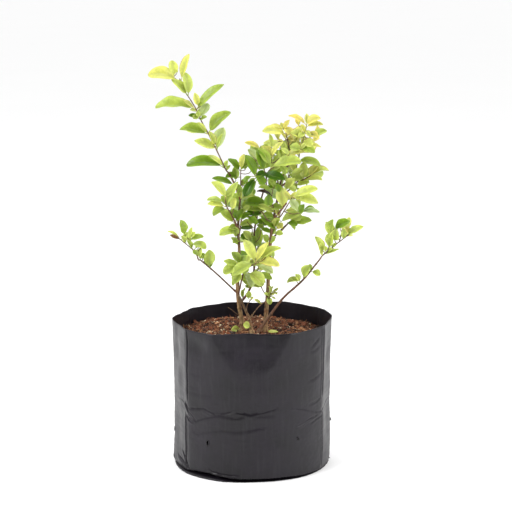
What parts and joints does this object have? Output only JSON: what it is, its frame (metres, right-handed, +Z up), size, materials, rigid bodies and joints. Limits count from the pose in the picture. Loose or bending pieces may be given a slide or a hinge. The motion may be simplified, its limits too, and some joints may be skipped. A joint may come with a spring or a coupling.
{
  "type": "potted golden duranta",
  "caption": "Young golden duranta shrub with opposite yellow-green leaves on thin branching stems, standing in a round black nursery grow bag filled with potting mix.",
  "frame": {"origin": "centre of the grow bag's flat underside, on the surface that it stands on", "axes": "+Z up, -Y towards the side that the plant is looked at from, +X to the right of that view"},
  "size_m": [0.2457, 0.2, 0.5169],
  "materials": {
    "film": "thin black polyethylene film, satin, softly creased",
    "potting_mix": "loose reddish-brown granules of coco and bark with pale bits",
    "bark": "thin tan to red-brown bark with small raised nodes",
    "leaves": "smooth leaves, yellow and lime at the shoot tips and mid to dark green inside"
  },
  "bodies": {
    "root": {"grow_bag": "film", "potting_mix": "potting_mix", "stem_left": "bark", "stem_right": "bark", "stem_right_low": "bark", "stem_twin": "bark", "stem_centre": "bark", "bough_left_low": "bark", "bough_front_low": "bark", "bough_left_side": "bark", "bough_long": "bark", "bough_right_front": "bark", "bough_right_low": "bark", "bough_right_mid": "bark", "bough_back_left": "bark", "bough_back_right": "bark", "bough_back_top": "bark", "leaves_long_shoot": "leaves", "leaves_top_right": "leaves", "leaves_right_low_tip": "leaves", "leaves_left_low_tip": "leaves", "leaves_front_low": "leaves", "leaves_left_side": "leaves", "leaves_left_top": "leaves", "leaves_centre": "leaves", "leaves_right_mid": "leaves", "leaves_right_front": "leaves", "leaves_right_low": "leaves", "leaves_top_left": "leaves", "leaves_middle": "leaves", "leaves_middle_left": "leaves", "leaves_inner_right": "leaves", "leaves_left_low": "leaves", "leaves_right_low_side": "leaves", "leaves_front_left": "leaves", "leaves_low_middle": "leaves", "leaves_low_right": "leaves", "leaves_foot": "leaves", "leaves_back_left": "leaves", "leaves_back_right": "leaves", "leaves_back_top": "leaves", "leaves_back_low": "leaves"}
  },
  "joints": []
}
